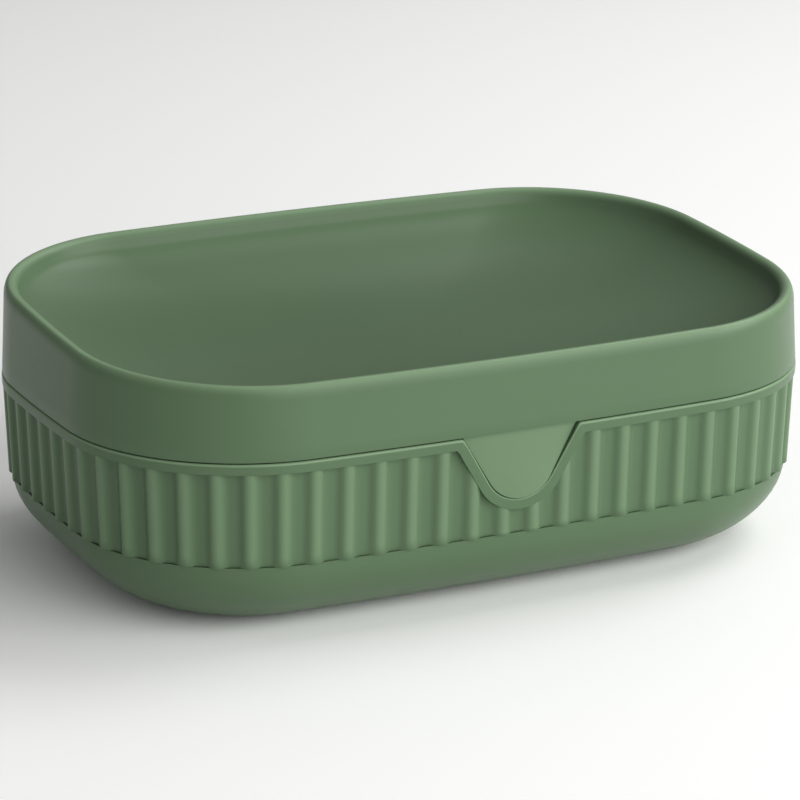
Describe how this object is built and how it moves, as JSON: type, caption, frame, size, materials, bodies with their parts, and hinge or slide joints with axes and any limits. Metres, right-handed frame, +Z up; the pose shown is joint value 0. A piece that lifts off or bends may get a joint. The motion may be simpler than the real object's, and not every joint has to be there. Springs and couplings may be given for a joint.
{
  "type": "travel soap box",
  "caption": "Travel soap box: fluted base with a rounded bottom, push-on lid with a dished top and a finger tab, and a slotted drain tray inside.",
  "frame": {"origin": "middle of the foot, on the surface that the box stands on", "axes": "+Z up, +X along the length from left to right, -Y towards the side with the finger tab"},
  "size_m": [0.118, 0.0786, 0.042],
  "materials": {
    "base_shell": "satin moulded polypropylene, sage green",
    "lid_shell": "satin moulded polypropylene, sage green",
    "tray_grid": "satin moulded polypropylene, paler sage green"
  },
  "bodies": {
    "base": {"base": "base_shell"},
    "lid": {"lid": "lid_shell"},
    "tray": {"drain_tray": "tray_grid"}
  },
  "joints": [
    {"name": "lid_lift", "type": "slide", "parent": "base", "child": "lid", "axis": [0, 0, 1], "range_m": [0, 0.07]},
    {"name": "tray_lift", "type": "slide", "parent": "base", "child": "tray", "axis": [0, 0, 1], "range_m": [0, 0.035]}
  ],
  "couplings": [
    {"joint": "tray_lift", "follows": "lid_lift", "ratio": 0.5}
  ]
}
